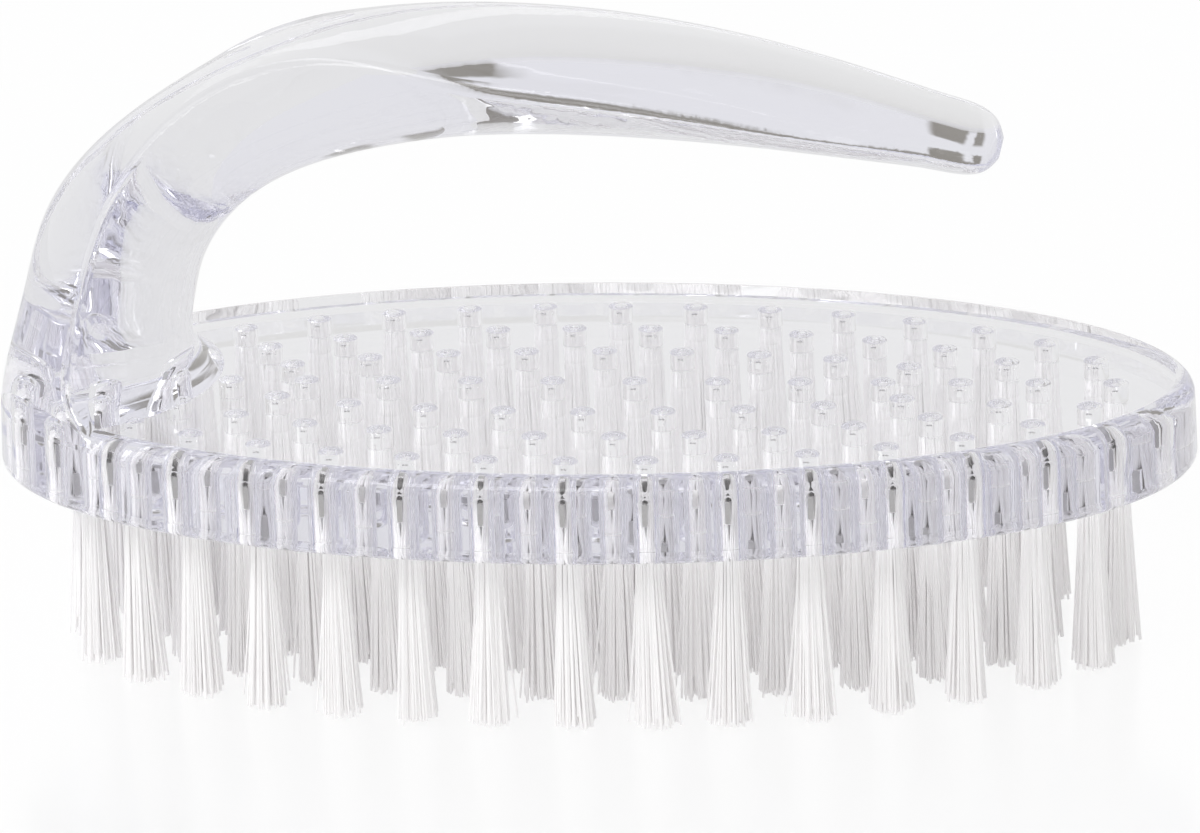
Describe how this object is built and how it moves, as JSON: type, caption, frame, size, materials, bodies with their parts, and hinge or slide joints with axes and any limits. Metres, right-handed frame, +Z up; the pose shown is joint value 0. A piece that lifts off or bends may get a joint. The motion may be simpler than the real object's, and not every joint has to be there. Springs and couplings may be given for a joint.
{
  "type": "nail brush",
  "caption": "Oval clear-plastic nail brush with a one-piece hook handle and concentric rings of stapled nylon bristle tufts.",
  "frame": {"origin": "centre of the brush's footprint, in the plane of the bristle tips that it stands on", "axes": "+X along the oval plate from the handle's root to its free tip, +Y across the plate, +Z up from the bristle tips to the handle"},
  "size_m": [0.0952, 0.0528, 0.052],
  "materials": {
    "clear_plastic": "polished clear moulding",
    "bristle": "satin white nylon filament",
    "anchor_wire": "bright rolled flat wire"
  },
  "bodies": {
    "root": {"brush_body": "clear_plastic", "tufts_centre_01": "bristle", "tufts_centre_02": "bristle", "tufts_centre_03": "bristle", "tufts_centre_04": "bristle", "tufts_centre_05": "bristle", "tufts_centre_06": "bristle", "tufts_centre_07": "bristle", "tufts_centre_08": "bristle", "tufts_outer_pair_01": "bristle", "tufts_outer_pair_02": "bristle", "tufts_outer_pair_03": "bristle", "tufts_outer_pair_04": "bristle", "tufts_outer_pair_05": "bristle", "tufts_outer_pair_06": "bristle", "tufts_outer_pair_07": "bristle", "tufts_outer_pair_08": "bristle", "tufts_outer_pair_09": "bristle", "tufts_outer_pair_10": "bristle", "tufts_outer_pair_11": "bristle", "tufts_outer_pair_12": "bristle", "tufts_outer_pair_13": "bristle", "tufts_outer_pair_14": "bristle", "tufts_outer_pair_15": "bristle", "tufts_outer_root_end": "bristle", "tufts_outer_tip_end": "bristle", "tufts_second_pair_01": "bristle", "tufts_second_pair_02": "bristle", "tufts_second_pair_03": "bristle", "tufts_second_pair_04": "bristle", "tufts_second_pair_05": "bristle", "tufts_second_pair_06": "bristle", "tufts_second_pair_07": "bristle", "tufts_second_pair_08": "bristle", "tufts_second_pair_09": "bristle", "tufts_second_pair_10": "bristle", "tufts_second_pair_11": "bristle", "tufts_second_pair_12": "bristle", "tufts_second_root_end": "bristle", "tufts_second_tip_end": "bristle", "tufts_third_pair_01": "bristle", "tufts_third_pair_02": "bristle", "tufts_third_pair_03": "bristle", "tufts_third_pair_04": "bristle", "tufts_third_pair_05": "bristle", "tufts_third_pair_06": "bristle", "tufts_third_pair_07": "bristle", "tufts_third_pair_08": "bristle", "tufts_third_pair_09": "bristle", "tufts_third_root_end": "bristle", "tufts_third_tip_end": "bristle", "anchors_centre": "anchor_wire", "anchors_outer": "anchor_wire", "anchors_second": "anchor_wire", "anchors_third": "anchor_wire"}
  },
  "joints": []
}
